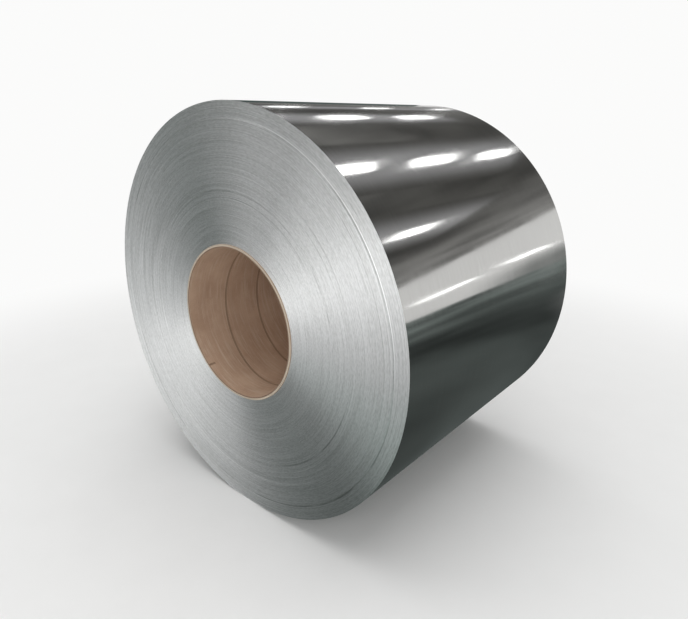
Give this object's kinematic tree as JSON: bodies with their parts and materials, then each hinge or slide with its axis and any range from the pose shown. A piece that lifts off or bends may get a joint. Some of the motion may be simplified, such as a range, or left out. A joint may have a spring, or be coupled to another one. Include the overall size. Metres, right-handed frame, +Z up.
{
  "type": "steel coil",
  "caption": "Coil of bright cold-rolled steel strip wound on a paper core tube, lying on its barrel; the core's bore takes a mandrel or lifting hook.",
  "frame": {"origin": "under the middle of the coil, on the floor that its barrel lies on", "axes": "+Z up, +Y along the coil's axis from the front end to the back end, +X to the right seen from the front"},
  "size_m": [1.38, 1.073, 1.38],
  "materials": {
    "bright_steel": "mirror-bright rolled barrel, satin slit edges on the ends",
    "core_paper": "brown spiral-wound board with a pale cut edge"
  },
  "bodies": {
    "root": {"steel_coil": "bright_steel", "paper_core": "core_paper"}
  },
  "joints": []
}
